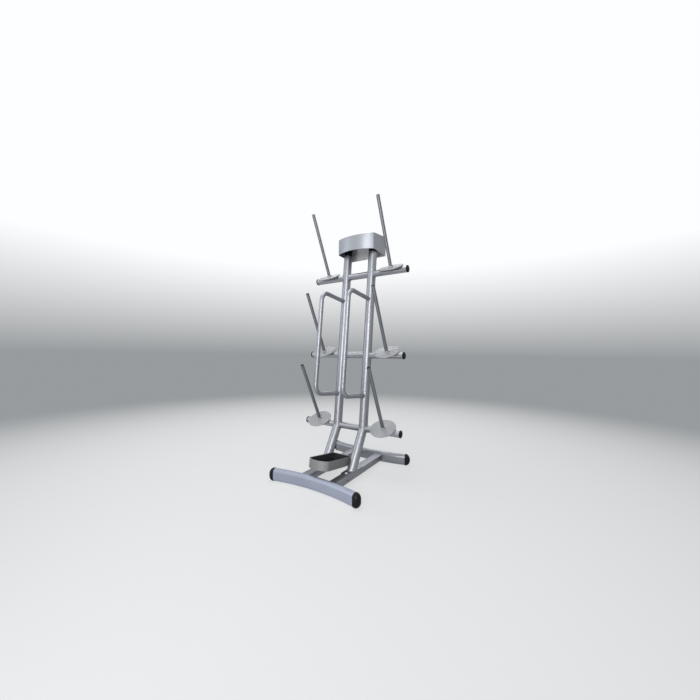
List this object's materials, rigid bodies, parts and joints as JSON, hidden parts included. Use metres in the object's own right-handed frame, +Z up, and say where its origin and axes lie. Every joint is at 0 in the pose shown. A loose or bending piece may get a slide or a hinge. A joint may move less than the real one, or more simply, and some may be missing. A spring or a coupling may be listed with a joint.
{
  "type": "barbell storage rack",
  "caption": "Leaning twin-tube studio rack with plate seats and pins on cross tubes, side guards, a bowed header and a lined tray that hold short barbells upright.",
  "frame": {"origin": "on the floor, under the middle of the base's bounding box", "axes": "+Z up, +X to the rack's right seen by a user who faces it, +Y to its rear; bars and plates are loaded from -Y"},
  "size_m": [0.7606, 0.7498, 1.7828],
  "materials": {
    "silver_coat": "satin silver powder coat, fine metallic grain",
    "seat_coat": "matt light grey-silver powder coat",
    "header_coat": "satin silver paint on sheet steel",
    "tray_coat": "satin light silver paint on strip steel",
    "black_plastic": "black moulded plastic, low sheen",
    "black_rubber": "matt black rubber",
    "zinc_plate": "bright zinc plate"
  },
  "bodies": {
    "root": {"upright_left": "silver_coat", "upright_plug_left": "black_plastic", "bar_guard_left": "silver_coat", "leg_left": "silver_coat", "base_rail_left": "silver_coat", "base_plate_left": "silver_coat", "header_screw_left": "zinc_plate", "tray_bolt_left": "zinc_plate", "base_bolt_front_left": "zinc_plate", "foot_cap_front_left": "black_plastic", "base_bolt_rear_left": "zinc_plate", "foot_cap_rear_left": "black_plastic", "cross_tube_cap_lower_left": "black_plastic", "plate_seat_lower_left": "seat_coat", "plate_pin_lower_left": "silver_coat", "pin_cap_lower_left": "black_plastic", "cross_tube_cap_middle_left": "black_plastic", "plate_seat_middle_left": "seat_coat", "plate_pin_middle_left": "silver_coat", "pin_cap_middle_left": "black_plastic", "cross_tube_cap_top_left": "black_plastic", "plate_seat_top_left": "seat_coat", "plate_pin_top_left": "silver_coat", "pin_cap_top_left": "black_plastic", "upright_right": "silver_coat", "upright_plug_right": "black_plastic", "bar_guard_right": "silver_coat", "leg_right": "silver_coat", "base_rail_right": "silver_coat", "base_plate_right": "silver_coat", "header_screw_right": "zinc_plate", "tray_bolt_right": "zinc_plate", "base_bolt_front_right": "zinc_plate", "foot_cap_front_right": "black_plastic", "base_bolt_rear_right": "zinc_plate", "foot_cap_rear_right": "black_plastic", "cross_tube_cap_lower_right": "black_plastic", "plate_seat_lower_right": "seat_coat", "plate_pin_lower_right": "silver_coat", "pin_cap_lower_right": "black_plastic", "cross_tube_cap_middle_right": "black_plastic", "plate_seat_middle_right": "seat_coat", "plate_pin_middle_right": "silver_coat", "pin_cap_middle_right": "black_plastic", "cross_tube_cap_top_right": "black_plastic", "plate_seat_top_right": "seat_coat", "plate_pin_top_right": "silver_coat", "pin_cap_top_right": "black_plastic", "cross_tube_lower": "silver_coat", "cross_tube_middle": "silver_coat", "cross_tube_top": "silver_coat", "foot_front": "silver_coat", "foot_rear": "silver_coat", "header_shell": "header_coat", "header_back": "header_coat", "header_lid": "header_coat", "tray_band": "tray_coat", "tray_floor": "tray_coat", "tray_liner": "black_rubber"}
  },
  "joints": []
}
